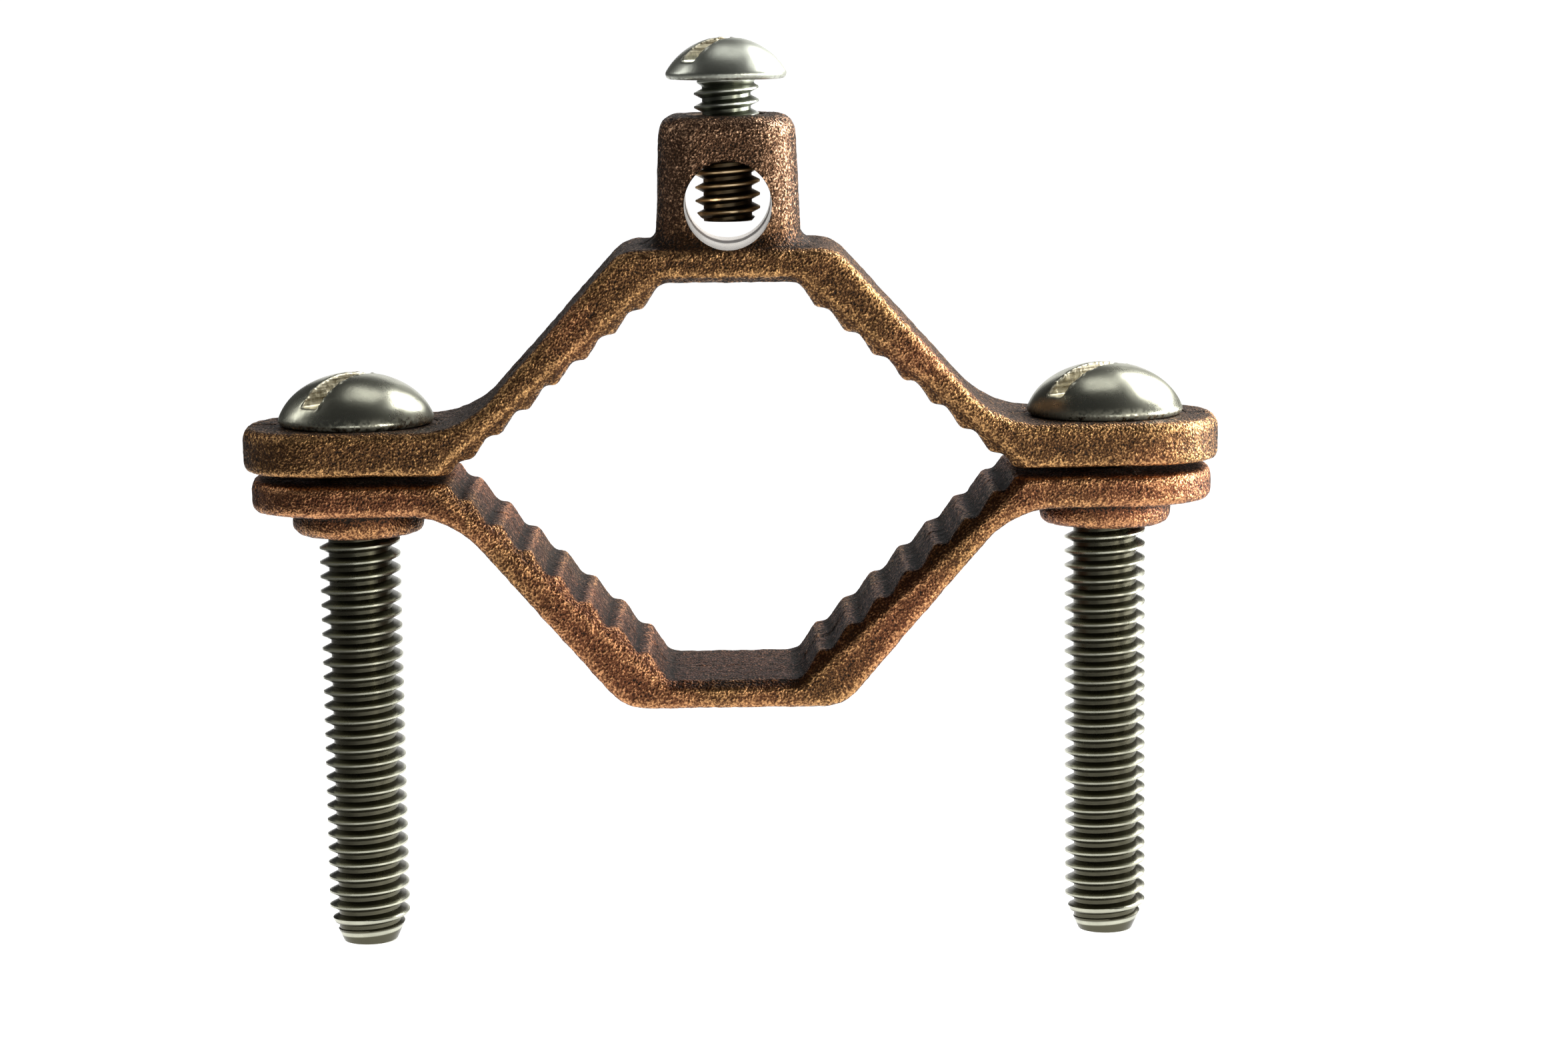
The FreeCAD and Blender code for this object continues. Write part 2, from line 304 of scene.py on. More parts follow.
# %% Bronze as cast
def tumbled_bronze(name, copper_from, copper_to, rubbing):
    """Cast bronze; copper pink where the drift passes the two limits, and brighter with rubbing."""
    material, graph, place = shader(name)
    grain = graph.noise(place, GRAINS_PER_METRE, detail=1.5)
    lumps = graph.noise(place, LUMPS_PER_METRE, detail=1.0, roughness=0.4, offset=3.0)
    dust = graph.noise(place, DUST_PER_METRE, detail=1.0, offset=5.0)
    drift = graph.noise(place, DRIFTS_PER_METRE, offset=7.0)
    proudness = attribute(graph, "proudness")
    flank = attribute(graph, "flank")
    height = grain * 0.78 + lumps * 0.22
    # Proud edges are brighter, partly from rubbing and partly as a painted highlight.
    # The toothed, upper and inner faces are darker, partly from less rubbing and partly as painted shade.
    rubbed = (height - 0.5) * (1.6 - flank * 0.6) + 0.5 + proudness * EDGE_RUBBING_AND_HIGHLIGHT + (drift - 0.5) * 0.08 \
        + (dust - 0.5) * 0.20 - (1.0 - flank) * SHELTER_AND_SHADE + rubbing
    pits = graph.ease(rubbed, PITS_FROM, PITS_FULL)
    gold = graph.ease(rubbed, GOLD_FROM, GOLD_FULL)
    pink = graph.ease(drift, copper_from, copper_to)
    # Around the lug the colours turn pinker: a painted sheen of the light there.
    lug_sheen = graph.ease(graph.parts(place).named("Z"), LUG_SHEEN_LOW, LUG_SHEEN_HIGH)
    brown = graph.blend(lug_sheen, graph.blend(pink, BROWN, COPPER_BROWN), LUG_SHEEN_BROWN)
    bright = graph.blend(lug_sheen, graph.blend(pink, GOLD, COPPER_PINK), LUG_SHEEN_PINK)
    colour = graph.blend(pits, graph.blend(gold, brown, bright), OXIDE)
    finish_shader(graph, {
        "Base Color": colour,
        "Metallic": 1.0 - pits * 0.5,
        "Roughness": 0.50 - flank * 0.08 - gold * 0.12 + pits * 0.16,
        "Specular IOR Level": 0.2,
        "Normal": bump(graph, height * (1.5 - flank * 0.5), GRAIN_RELIEF),
    })
    return material


CAST = tumbled_bronze("tumbled_bronze", copper_from=0.50, copper_to=0.72, rubbing=-0.02)
COPPERY_CAST = tumbled_bronze("coppery_tumbled_bronze", copper_from=0.30, copper_to=0.56, rubbing=-0.02)
print("cast finishes:", CAST.name, COPPERY_CAST.name)

# %% Bronze as drilled
RINGS_PER_METRE = (400.0, 6000.0, 900.0)
RING_DARK = (0.50, 0.40, 0.30)
RING_BRIGHT = (0.97, 0.92, 0.84)
OIL = (0.09, 0.055, 0.030)
OIL_DEPTH = 2.4 * MM
OIL_WIDTH = 2.8 * MM
OIL_RAGGED = 3.0 * MM
RING_RELIEF = 0.03 * MM


def drilled_bronze():
    """Cut by a drill along the pipe, with a line of old oil where the drill came to rest."""
    material, graph, place = shader("drilled_bronze")
    rings = graph.noise(graph.vector("MULTIPLY", place, RINGS_PER_METRE), 1.0)
    depth = graph.parts(place).named("Y")
    ragged = graph.noise(place, 700.0, detail=3.0, offset=4.0)
    oil = graph.ease(abs(depth - OIL_DEPTH + (ragged - 0.5) * OIL_RAGGED), OIL_WIDTH, 0.4 * OIL_WIDTH)
    metal = graph.blend(graph.ease(rings, 0.35, 0.65), RING_DARK, RING_BRIGHT)
    finish_shader(graph, {
        "Base Color": graph.blend(oil, metal, OIL),
        "Metallic": 1.0,
        "Roughness": 0.18 + rings * 0.20 + oil * 0.2,
        "Normal": bump(graph, rings + ragged * 0.3, RING_RELIEF),
    })
    return material


DRILLED = drilled_bronze()
print("cut finish:", DRILLED.name)

# %% [markdown]
# ## Plated steel
# The screws are rolled from wire and plated, then handled. Flanks and roots of the thread hold
# an olive film, the crests are rubbed bright, and the domes carry scuffs and a line of dirt
# above the rim. The screws store four numbers for this: `crest` runs from 0 in the root of the
# thread to 1 on its crest, `shank` and `slot` are 1 there, and `across` is the distance from the
# middle of the slot, along which the streaks of the saw lie side by side.


# %% Steel for the domes and the threads
DIRT = (0.05, 0.042, 0.03)
LOW_ROOT_BROWN = (0.07, 0.042, 0.018)
# Gold of the crests low on the shank: a painted highlight.
LOW_CREST_HIGHLIGHT = (0.86, 0.62, 0.34)
SAWN_DARK = (0.16, 0.125, 0.06)
SAWN_BRIGHT = (0.86, 0.80, 0.60)
SCUFFS_PER_METRE = (260.0, 4200.0, 1300.0)
SAW_STREAKS_ACROSS = 4200.0
SAW_STREAKS_DOWN = 2600.0
STEEL_RELIEF = 0.06 * MM


def plated_steel(name, light, dark, dirt_height, gloss, low_band_top):
    """Plated steel; dirt gathers on the rim up to dirt_height, and below the band's top the shank is brown
    in its roots and gold on its crests, a painted highlight.
    """
    material, graph, place = shader(name)
    crest = attribute(graph, "crest")
    shank = attribute(graph, "shank")
    slot = attribute(graph, "slot")
    cloud = graph.noise(place, 420.0, detail=4.0, roughness=0.6)
    speck = graph.noise(place, 2600.0, offset=2.0)
    sideways = graph.vector("MULTIPLY", place, SCUFFS_PER_METRE)
    scuffs = graph.ease(graph.noise(sideways, 1.0, offset=5.0), 0.66, 0.80)
    height = graph.parts(place).named("Z")
    low = 1.0 - graph.ease(height, dirt_height - 0.7 * MM, dirt_height + 0.5 * MM)
    dirt = low * graph.ease(speck + cloud, 0.85, 1.15) * (1.0 - shank)
    worn = 1.0 - shank * (1.0 - graph.ease(crest, 0.55, 0.95))
    colour = graph.blend(graph.ease(cloud, 0.35, 0.7), light, tuple(part * 0.8 for part in light))
    colour = graph.blend(worn, dark, colour)
    # Below the band's top the shank's roots turn brown and its crests gold; the gold is a painted
    # highlight.
    low_band = graph.ease(height, low_band_top, low_band_top - 1.5 * MM) * shank
    colour = graph.blend(low_band * 0.85, colour, graph.blend(worn, LOW_ROOT_BROWN, LOW_CREST_HIGHLIGHT))
    colour = graph.blend(dirt * 0.8, colour, DIRT)
    along_saw = graph.add("ShaderNodeCombineXYZ", {}, {
        "X": attribute(graph, "across") * SAW_STREAKS_ACROSS, "Y": height * SAW_STREAKS_DOWN,
        "Z": cloud * 2.0})
    sawn = graph.noise(along_saw, 1.0, roughness=0.6, offset=9.0)
    sawn_colour = graph.blend(graph.ease(sawn, 0.36, 0.64), SAWN_DARK, SAWN_BRIGHT)
    colour = graph.blend(slot, colour, sawn_colour)
    dents = cloud * 0.6 + speck * 0.06 - scuffs * 0.08 + sawn * slot * 0.8
    finish_shader(graph, {
        "Base Color": colour,
        "Metallic": 1.0 - dirt * 0.6 - slot * 0.35,
        "Roughness": gloss + cloud * 0.16 + dirt * 0.4 + scuffs * 0.06 + slot * 0.2,
        "Normal": bump(graph, dents, STEEL_RELIEF),
    })
    return material


# %% [markdown]
# ## The cast skin
# A sand casting has no crisp edge and no flat face. The copy of each jaw is remade with even
# small faces, its drilled holes stopped up first, and a Geometry Nodes tree then does what the
# mould does: it softens the edges, adds slow waves and sand grain along the normal, and leaves
# a thin broken line of flash where the two halves of the mould met. The flat faces where the two
# jaws meet are set back by a hair, so that their grains don't run into each other when the clamp
# is closed. The holes are drilled last, so that their edges stay as sharp as a drill leaves them.


# %% The tree for the skin
FULLY_PROUD = 0.10 * MM
FLASH_WANDER = 0.5 * MM
MEETING_FULL = 0.5 * MM
MEETING_END = 0.9 * MM


def cast_skin_tree():
    tree, graph, given = new_tree("cast_skin", {
        "Geometry": "Geometry", "Softening": "Int", "Proud Reach": "Int",
        "Wave Height": "Float", "Wave Size": "Float",
        "Grain Height": "Float", "Grain Size": "Float",
        "Flash Height": "Float", "Flash Width": "Float",
        "Meeting Height": "Float", "Meeting Gap": "Float",
        "Seed": "Float", "Material": "Material"})

    def blurred(steps):
        place = graph.add("GeometryNodeInputPosition")
        return graph.add("GeometryNodeBlurAttribute", {"data_type": "FLOAT_VECTOR"},
                         {"Value": place, "Iterations": steps})

    soft = graph.add("GeometryNodeSetPosition", {},
                     {"Geometry": given["Geometry"], "Position": blurred(given["Softening"])})
    place = graph.add("GeometryNodeInputPosition")
    normal = graph.add("GeometryNodeInputNormal")
    proud = graph.vector("DOT_PRODUCT", graph.vector("SUBTRACT", place, blurred(given["Proud Reach"])),
                         normal).named("Value")
    facing = graph.parts(normal)
    # How far a point stands proud of its blurred surroundings: the bronze turns proud edges gold, partly
    # rubbing and partly a painted highlight, and keeps hollows dark with oxide.
    worn = graph.store(soft, "proudness", proud / FULLY_PROUD)
    worn = graph.store(worn, "flank", graph.ease(abs(facing.named("Y")), 0.25, 0.75))

    waves = graph.noise(place, 1.0 / given["Wave Size"], 1.0, 0.5, given["Seed"])
    grain = graph.noise(place, 1.0 / given["Grain Size"], 2.0, 0.55, given["Seed"] + 11.0)
    broken = graph.noise(place, 260.0, 2.0, 0.5, given["Seed"] + 23.0)
    part = graph.parts(place)
    off_line = abs(part.named("Y") + (broken - 0.5) * FLASH_WANDER) / given["Flash Width"]
    flash = graph.ease(off_line, 1.0, 0.0) * graph.ease(broken, 0.38, 0.62)
    near_meeting = graph.ease(abs(part.named("Z") - given["Meeting Height"]), MEETING_END, MEETING_FULL)
    meeting = near_meeting * graph.ease(abs(facing.named("Z")), 0.6, 0.9)
    rise = (waves - 0.5) * 2.0 * given["Wave Height"] + (grain - 0.5) * 2.0 * given["Grain Height"] \
        + flash * given["Flash Height"] * (1.0 - meeting) - meeting * given["Meeting Gap"]
    rough = graph.add("GeometryNodeSetPosition", {}, {
        "Geometry": worn, "Offset": graph.vector("SCALE", normal, scale=rise)})
    end_tree(graph, rough, given["Material"])
    return tree


SKIN = cast_skin_tree()
print("skin tree:", len(SKIN.nodes), "nodes")


# %% Stop up the holes, remake the surface and cast the skin
def stopped_up(node, name, in_hole):
    """A closed copy of a CAD node without the hole walls; in_hole(point) is true inside a hole."""
    shape = bmesh.new()
    shape.from_mesh(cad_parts[node].data)
    bmesh.ops.remove_doubles(shape, verts=shape.verts, dist=DOUBLES)
    walls = [face for face in shape.faces if all(in_hole(vert.co) for vert in face.verts)]
    bmesh.ops.delete(shape, geom=walls, context="FACES")
    rims = [edge for edge in shape.edges if len(edge.link_faces) == 1]
    bmesh.ops.holes_fill(shape, edges=rims, sides=0)
    bmesh.ops.triangulate(shape, faces=[face for face in shape.faces if len(face.verts) > 4])
    return piece_from(shape, name)


def remake(piece, size):
    """Even square faces of the given size all over a closed piece."""
    remesh = piece.modifiers.new("remesh", "REMESH")
    remesh.mode = "VOXEL"
    remesh.voxel_size = size
    remesh.use_smooth_shade = True
    freeze(piece)


SKIN_FACE = 0.27 * MM
SKIN_VALUES = {
    "Softening": 3, "Proud Reach": 6,
    "Wave Height": 0.09 * MM, "Wave Size": 4.0 * MM,
    "Grain Height": 0.12 * MM, "Grain Size": 0.85 * MM,
    "Flash Height": 0.10 * MM, "Flash Width": 0.35 * MM,
    "Meeting Gap": 0.13 * MM}


def cast(node, name, in_hole, meeting_height, material, seed):
    """A CAD node with its holes stopped up, in the skin of a casting."""
    piece = stopped_up(node, name, in_hole)
    report(piece)
    remake(piece, SKIN_FACE)
    grow(piece, SKIN, {
        **SKIN_VALUES, "Meeting Height": meeting_height, "Material": material, "Seed": seed})
    report(piece)
    return piece


# %% Holes and drills
UP = Vector((0, 0, 1))
ALONG_PIPE = Vector((0, 1, 0))
WALL_TOLERANCE = 0.003 * MM
DRILL_SIDES = 120


def near_axis(point, centre, axis, radius):
    """True when the point is within the radius of a line through centre along axis."""
    away = point - centre
    return (away - axis * away.dot(axis)).length < radius + WALL_TOLERANCE


def drill(centre, axis, radius, length, end_radius=None, finish=DRILLED):
    """A closed round tool whose near end is at centre and which runs along axis."""
    turn = UP.rotation_difference(axis).to_matrix().to_4x4()
    shape = bmesh.new()
    bmesh.ops.create_cone(shape, cap_ends=True, segments=DRILL_SIDES, radius1=radius,
                          radius2=radius if end_radius is None else end_radius, depth=length,
                          matrix=Matrix.Translation(centre + axis * (length / 2)) @ turn)
    tool = piece_from(shape, "drill")
    tool.data.materials.append(finish)
    return tool


def combine(piece, tool, operation):
    """Cuts the tool out of a piece, or joins it on, and removes the tool."""
    change = piece.modifiers.new("combine", "BOOLEAN")
    change.operation = operation
    change.solver = "MANIFOLD"
    change.material_mode = "TRANSFER"
    change.object = tool
    freeze(piece)
    bpy.data.objects.remove(tool)


def cut(piece, tool):
    combine(piece, tool, "DIFFERENCE")


# %% [markdown]
# ## Rolled threads
# A thread is one rule: the height of a point grows with its angle and its turn, and its radius
# follows the same small profile on every turn. A grid of points bent by that rule is the whole
# screw, so the shank is a Geometry Nodes tree: its columns go round, its rows go up. The tip
# cone and the plain neck under the head are limits on the radius.


# %% The tree for a thread
ROWS_PER_TURN = 16
COLUMNS = 64
ROOT_SHARE = 0.25
CREST_SHARE = 0.125
NECK_RISE = 0.6


def thread_tree():
    tree, graph, given = new_tree("rolled_thread", {
        "Rows": "Int", "Turns": "Float", "Pitch": "Float", "Bottom": "Float", "Top": "Float",
        "Crest Radius": "Float", "Root Radius": "Float", "Tip Radius": "Float", "Tip Length": "Float",
        "Neck Radius": "Float", "Neck Length": "Float", "Axis X": "Float", "Material": "Material"})
    sheet = graph.add("GeometryNodeMeshGrid", {}, {
        "Size X": 1.0, "Size Y": 1.0, "Vertices X": COLUMNS + 1, "Vertices Y": given["Rows"]})
    flat = graph.parts(graph.add("GeometryNodeInputPosition"))
    round_share = flat.named("X") + 0.5
    turn = (flat.named("Y") + 0.5) * given["Turns"] - 1.0
    climbed = given["Bottom"] + given["Pitch"] * (turn + round_share)
    height = graph.largest(graph.smallest(climbed, given["Top"]), given["Bottom"])

    # Whole turns are added so that the count is never negative, which keeps the fraction right.
    from_root = abs(graph.maths("FRACT", turn + 8.0) - 0.5) * 2.0
    climb = (from_root - ROOT_SHARE) / (1.0 - ROOT_SHARE - CREST_SHARE)
    crest = graph.largest(graph.smallest(climb, 1.0), 0.0)
    radius = given["Root Radius"] + crest * (given["Crest Radius"] - given["Root Radius"])
    cone = given["Tip Radius"] + (height - given["Bottom"]) / given["Tip Length"] \
        * (given["Crest Radius"] - given["Tip Radius"])
    radius = graph.smallest(radius, cone)
    to_neck = graph.ease(height - (given["Top"] - given["Neck Length"]), 0.0, given["Pitch"] * NECK_RISE)
    radius = radius + (given["Neck Radius"] - radius) * to_neck

    angle = round_share * (2.0 * math.pi)
    bent = graph.add("ShaderNodeCombineXYZ", {}, {
        "X": given["Axis X"] + radius * graph.maths("COSINE", angle),
        "Y": radius * graph.maths("SINE", angle),
        "Z": height})
    rolled = graph.store(sheet, "crest", graph.largest(crest, to_neck))
    rolled = graph.store(rolled, "shank", 1.0)
    rolled = graph.add("GeometryNodeSetPosition", {}, {"Geometry": rolled, "Position": bent})
    rolled = graph.add("GeometryNodeMergeByDistance", {}, {"Geometry": rolled, "Distance": DOUBLES})
    end_tree(graph, rolled, given["Material"])
    return tree


THREAD = thread_tree()
print("thread tree:", len(THREAD.nodes), "nodes")


# %% A closed threaded rod
def threaded_rod(name, values):
    """A rod with a thread from Bottom to Top; both ends are closed."""
    turns = math.ceil((values["Top"] - values["Bottom"]) / values["Pitch"]) + 1
    piece = new_piece(name, bpy.data.meshes.new(name))
    grow(piece, THREAD, {**values, "Turns": float(turns), "Rows": turns * ROWS_PER_TURN + 1})
    shape = bmesh.new()
    shape.from_mesh(piece.data)
    rims = [edge for edge in shape.edges if len(edge.link_faces) == 1]
    bmesh.ops.holes_fill(shape, edges=rims, sides=0)
    bmesh.ops.recalc_face_normals(shape, faces=shape.faces)
    shape.to_mesh(piece.data)
    shape.free()
    return piece


# %% [markdown]
# ## Round slotted heads
# The dome is one Bezier curve from the top to the rim, turned round the screw's axis. The slot
# is sawn out of it, and the saw and the screwdriver leave a soft, slightly raised edge. The
# curve is turned finely, because a shiny dome shows every facet.


# %% The tree that wears a head
def head_wear_tree():
    tree, graph, given = new_tree("worn_head", {
        "Geometry": "Geometry", "Softening": "Int", "Slot Half Width": "Float", "Slot Angle": "Float",
        "Axis X": "Float", "Seat": "Float", "Burr Height": "Float", "Burr Reach": "Float",
        "Dent Depth": "Float", "Seed": "Float", "Material": "Material"})
    blur = graph.add("GeometryNodeBlurAttribute", {"data_type": "FLOAT_VECTOR"}, {
        "Value": graph.add("GeometryNodeInputPosition"), "Iterations": given["Softening"]})
    soft = graph.add("GeometryNodeSetPosition", {}, {"Geometry": given["Geometry"], "Position": blur})
    place = graph.add("GeometryNodeInputPosition")
    part = graph.parts(place)
    across = (part.named("X") - given["Axis X"]) * graph.maths("COSINE", given["Slot Angle"]) \
        - part.named("Y") * graph.maths("SINE", given["Slot Angle"])
    from_edge = abs(abs(across) - given["Slot Half Width"] - given["Burr Reach"] * 0.35)
    ragged = graph.noise(place, 900.0, 2.0, 0.6, given["Seed"])
    above = graph.ease(part.named("Z") - given["Seat"], 1.6 * MM, 2.6 * MM)
    burr = graph.ease(from_edge, given["Burr Reach"], 0.0) * graph.ease(ragged, 0.45, 0.75) * above
    dents = graph.ease(graph.noise(place, 330.0, 1.0, 0.5, given["Seed"] + 5.0), 0.35, 0.15)
    rise = burr * given["Burr Height"] - dents * given["Dent Depth"]
    shift = graph.vector("SCALE", graph.add("GeometryNodeInputNormal"), scale=rise)
    worn = graph.add("GeometryNodeSetPosition", {}, {"Geometry": soft, "Offset": shift})
    in_slot = graph.ease(abs(across) - given["Slot Half Width"], 0.16 * MM, -0.02 * MM) * above
    worn = graph.store(worn, "slot", graph.largest(in_slot, burr))
    worn = graph.store(worn, "across", across)
    end_tree(graph, worn, given["Material"])
    return tree


HEAD_WEAR = head_wear_tree()
print("head tree:", len(HEAD_WEAR.nodes), "nodes")

# %% Turn a head and saw its slot
HEAD_RIM = 0.6 * MM
HEAD_RIM_INSET = 0.45 * MM
RIM_HANDLE = Vector((0, 0.3 * MM))
UNDER_HANDLE = Vector((0.2 * MM, 0))
DOME_HANDLE = 0.415
HEAD_SIDES = 240
DOME_STEPS = 60
RIM_STEPS = 8


def head_outline(radius, height, shoulder):
    """(distance from the axis, height) from the top of the dome to the middle of the underside."""
    handle = DOME_HANDLE * radius
    top = Vector((0, height))
    rim = Vector((radius, HEAD_RIM))
    lean = Vector((-math.cos(shoulder), math.sin(shoulder))) * handle
    dome = interpolate_bezier(top, top + Vector((handle, 0)), rim + lean, rim, DOME_STEPS)
    under = Vector((radius - HEAD_RIM_INSET, 0))
    edge = interpolate_bezier(rim, rim - RIM_HANDLE, under + UNDER_HANDLE, under, RIM_STEPS)
    return [*dome, *edge[1:], Vector((0, 0))]


def turned(name, outline, centre):
    """The outline turned once round the vertical line through centre."""
    shape = bmesh.new()
    points = [shape.verts.new((point.x, 0, point.y)) for point in outline]
    edges = [shape.edges.new(pair) for pair in zip(points, points[1:])]
    bmesh.ops.spin(shape, geom=[*points, *edges], cent=(0, 0, 0), axis=(0, 0, 1),
                   angle=2 * math.pi, steps=HEAD_SIDES)
    bmesh.ops.remove_doubles(shape, verts=shape.verts, dist=DOUBLES)
    bmesh.ops.recalc_face_normals(shape, faces=shape.faces)
    bmesh.ops.translate(shape, verts=shape.verts, vec=centre)
    return piece_from(shape, name)


def slot_saw(width, length, height, centre, angle):
    """A long box that cuts the slot; angle turns it clockwise, seen from above."""
    shape = bmesh.new()
    size = Matrix.Diagonal((width, length, height, 1))
    turn = Matrix.Rotation(-angle, 4, "Z")
    bmesh.ops.create_cube(shape, size=1.0, matrix=Matrix.Translation(centre) @ turn @ size)
    return piece_from(shape, "slot_saw")


# %% A whole screw
SHANK_OVERLAP = 0.3 * MM
THREAD_DEPTH_SHARE = 0.61
WEAR_VALUES = {
    "Softening": 5, "Burr Height": 0.16 * MM, "Burr Reach": 0.30 * MM, "Dent Depth": 0.03 * MM}


def make_head(name, size, slot_turn, axis_x, radius, top, steel, seed):
    """A slotted round head whose dome is highest at top."""
    seat = top - size["head height"]
    head = turned(name, head_outline(radius, size["head height"], math.radians(size["shoulder"])),
                  Vector((axis_x, 0, seat)))
    saw_height = 2 * size["head height"]
    saw_centre = Vector((axis_x, 0, top - size["slot depth"] + saw_height / 2))
    cut(head, slot_saw(size["slot width"], 4 * radius, saw_height, saw_centre, slot_turn))
    remake(head, size["head face"])
    grow(head, HEAD_WEAR, {
        **WEAR_VALUES, "Slot Half Width": size["slot width"] / 2, "Slot Angle": slot_turn,
        "Axis X": axis_x, "Seat": seat, "Seed": seed, "Material": steel})
    return head


def make_screw(node, name, size, slot_turn, steel, seed):
    """A threaded screw with a worn head, in the place of its CAD node; slot_turn is in degrees."""
    low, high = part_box(node)
    axis_x = (low.x + high.x) / 2
    radius = (high.x - low.x) / 2
    screw = make_head(name, size, math.radians(slot_turn), axis_x, radius, high.z, steel, seed)
    shank = threaded_rod(name + "_shank", {
        "Pitch": size["pitch"], "Bottom": low.z, "Top": high.z - size["head height"] + SHANK_OVERLAP,
        "Crest Radius": size["crest radius"],
        "Root Radius": size["crest radius"] - THREAD_DEPTH_SHARE * size["pitch"],
        "Tip Radius": size["tip radius"], "Tip Length": size["tip length"],
        "Neck Radius": size["neck radius"], "Neck Length": size["neck length"] + SHANK_OVERLAP,
        "Axis X": axis_x, "Material": steel})
    combine(screw, shank, "UNION")
    report(screw)
    return screw


# %% The three screws
CLAMP_SCREW = {
    "head height": 5.0 * MM, "shoulder": 71.0, "slot width": 2.0 * MM, "slot depth": 2.9 * MM,
    "pitch": 25.4 / 18 * MM, "crest radius": 3.89 * MM, "tip radius": 2.6 * MM, "tip length": 2.9 * MM,
    "neck radius": 3.5 * MM, "neck length": 1.2 * MM, "head face": 0.125 * MM}
LUG_SCREW = {
    "head height": 4.0 * MM, "shoulder": 61.0, "slot width": 1.7 * MM, "slot depth": 2.3 * MM,
    "pitch": 25.4 / 20 * MM, "crest radius": 3.09 * MM, "tip radius": 2.3 * MM, "tip length": 0.9 * MM,
    "neck radius": 2.75 * MM, "neck length": 0.8 * MM, "head face": 0.11 * MM}
CLAMP_STEEL_LIGHT, CLAMP_STEEL_DARK = (0.58, 0.58, 0.46), (0.10, 0.095, 0.065)
LUG_STEEL_LIGHT, LUG_STEEL_DARK = (0.62, 0.64, 0.55), (0.17, 0.18, 0.14)
CLAMP_DIRT, LUG_DIRT = 0.9 * MM, 0.3 * MM
NO_LOW_BAND = -1.0
upper_low, upper_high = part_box("upper_jaw")
lower_low, lower_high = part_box("lower_jaw")
seat_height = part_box("clamp_screw_left")[1].z - CLAMP_SCREW["head height"]
lug_seat_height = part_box("lug_screw")[1].z - LUG_SCREW["head height"]
CLAMP_STEEL = plated_steel("clamp_screw_steel_finish", CLAMP_STEEL_LIGHT, CLAMP_STEEL_DARK,
                           seat_height + CLAMP_DIRT, gloss=0.20, low_band_top=NO_LOW_BAND)
LUG_STEEL = plated_steel("lug_screw_steel_finish", LUG_STEEL_LIGHT, LUG_STEEL_DARK,
                         lug_seat_height + LUG_DIRT, gloss=0.27, low_band_top=upper_high.z)

left_screw = make_screw("clamp_screw_left", "left_clamp_screw", CLAMP_SCREW, 37.0, CLAMP_STEEL, seed=1.0)
right_screw = make_screw("clamp_screw_right", "right_clamp_screw", CLAMP_SCREW, 52.0, CLAMP_STEEL, seed=2.0)
lug_screw = make_screw("lug_screw", "wire_lug_screw", LUG_SCREW, 48.0, LUG_STEEL, seed=3.0)

# %% [markdown]
# ## The jaws
# The upper jaw is cast in one piece with the wire lug. It is drilled for the clamp screws and
# spot-faced under their heads. The lug is drilled crosswise for the wire and from the top for
# the short screw, whose hole stays plain here, because its thread can't be seen. The lower jaw is
# tapped with the same thread rule as the clamp screws, a whole number of turns up from their
# tips, so the threads of the two fit into each other.

# %% Upper jaw
CLEARANCE_HOLE = 4.35 * MM
SPOT_FACE = 7.8 * MM
WIRE_BORE = 4.125 * MM
WIRE_BORE_HEIGHT = 26.1 * MM
LUG_HOLE = 3.15 * MM
COUNTERSINK = 0.6 * MM
REACH = 30.0 * MM

screw_places = [(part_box(node)[0].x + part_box(node)[1].x) / 2
                for node in ("clamp_screw_left", "clamp_screw_right")]
bore_centre = Vector((0, 0, WIRE_BORE_HEIGHT))


def in_upper_hole(point):
    beside_screw = any(near_axis(point, Vector((x, 0, 0)), UP, CLEARANCE_HOLE) for x in screw_places)
    in_bore = near_axis(point, bore_centre, ALONG_PIPE, WIRE_BORE)
    in_tapping = point.z > WIRE_BORE_HEIGHT and near_axis(point, bore_centre, UP, LUG_HOLE + COUNTERSINK)
    return beside_screw or in_bore or in_tapping


upper_jaw = cast("upper_jaw", "upper_jaw_casting", in_upper_hole, upper_low.z, CAST, seed=4.0)
for x in screw_places:
    cut(upper_jaw, drill(Vector((x, 0, -REACH)), UP, CLEARANCE_HOLE, 2 * REACH))
    cut(upper_jaw, drill(Vector((x, 0, seat_height)), UP, SPOT_FACE, REACH, finish=CAST))
cut(upper_jaw, drill(bore_centre - ALONG_PIPE * REACH, ALONG_PIPE, WIRE_BORE, 2 * REACH))
cut(upper_jaw, drill(bore_centre, UP, LUG_HOLE, REACH))
cone_foot = Vector((0, 0, upper_high.z - COUNTERSINK))
cut(upper_jaw, drill(cone_foot, UP, LUG_HOLE, 2 * COUNTERSINK, LUG_HOLE + 2 * COUNTERSINK))
report(upper_jaw)

# %% Lower jaw
TAPPED_HOLE = 3.95 * MM
TAP_OVERSIZE = 0.01 * MM
TAP_DEPTH_SHARE = 0.50
TAP_TOP = 3.0 * MM
TAP_TIP = 2.5 * MM
TAP_TIP_LENGTH = 0.5 * MM
BOSS_DEPTH = 5.4 * MM


def in_lower_hole(point):
    return any(near_axis(point, Vector((x, 0, 0)), UP, TAPPED_HOLE) for x in screw_places)


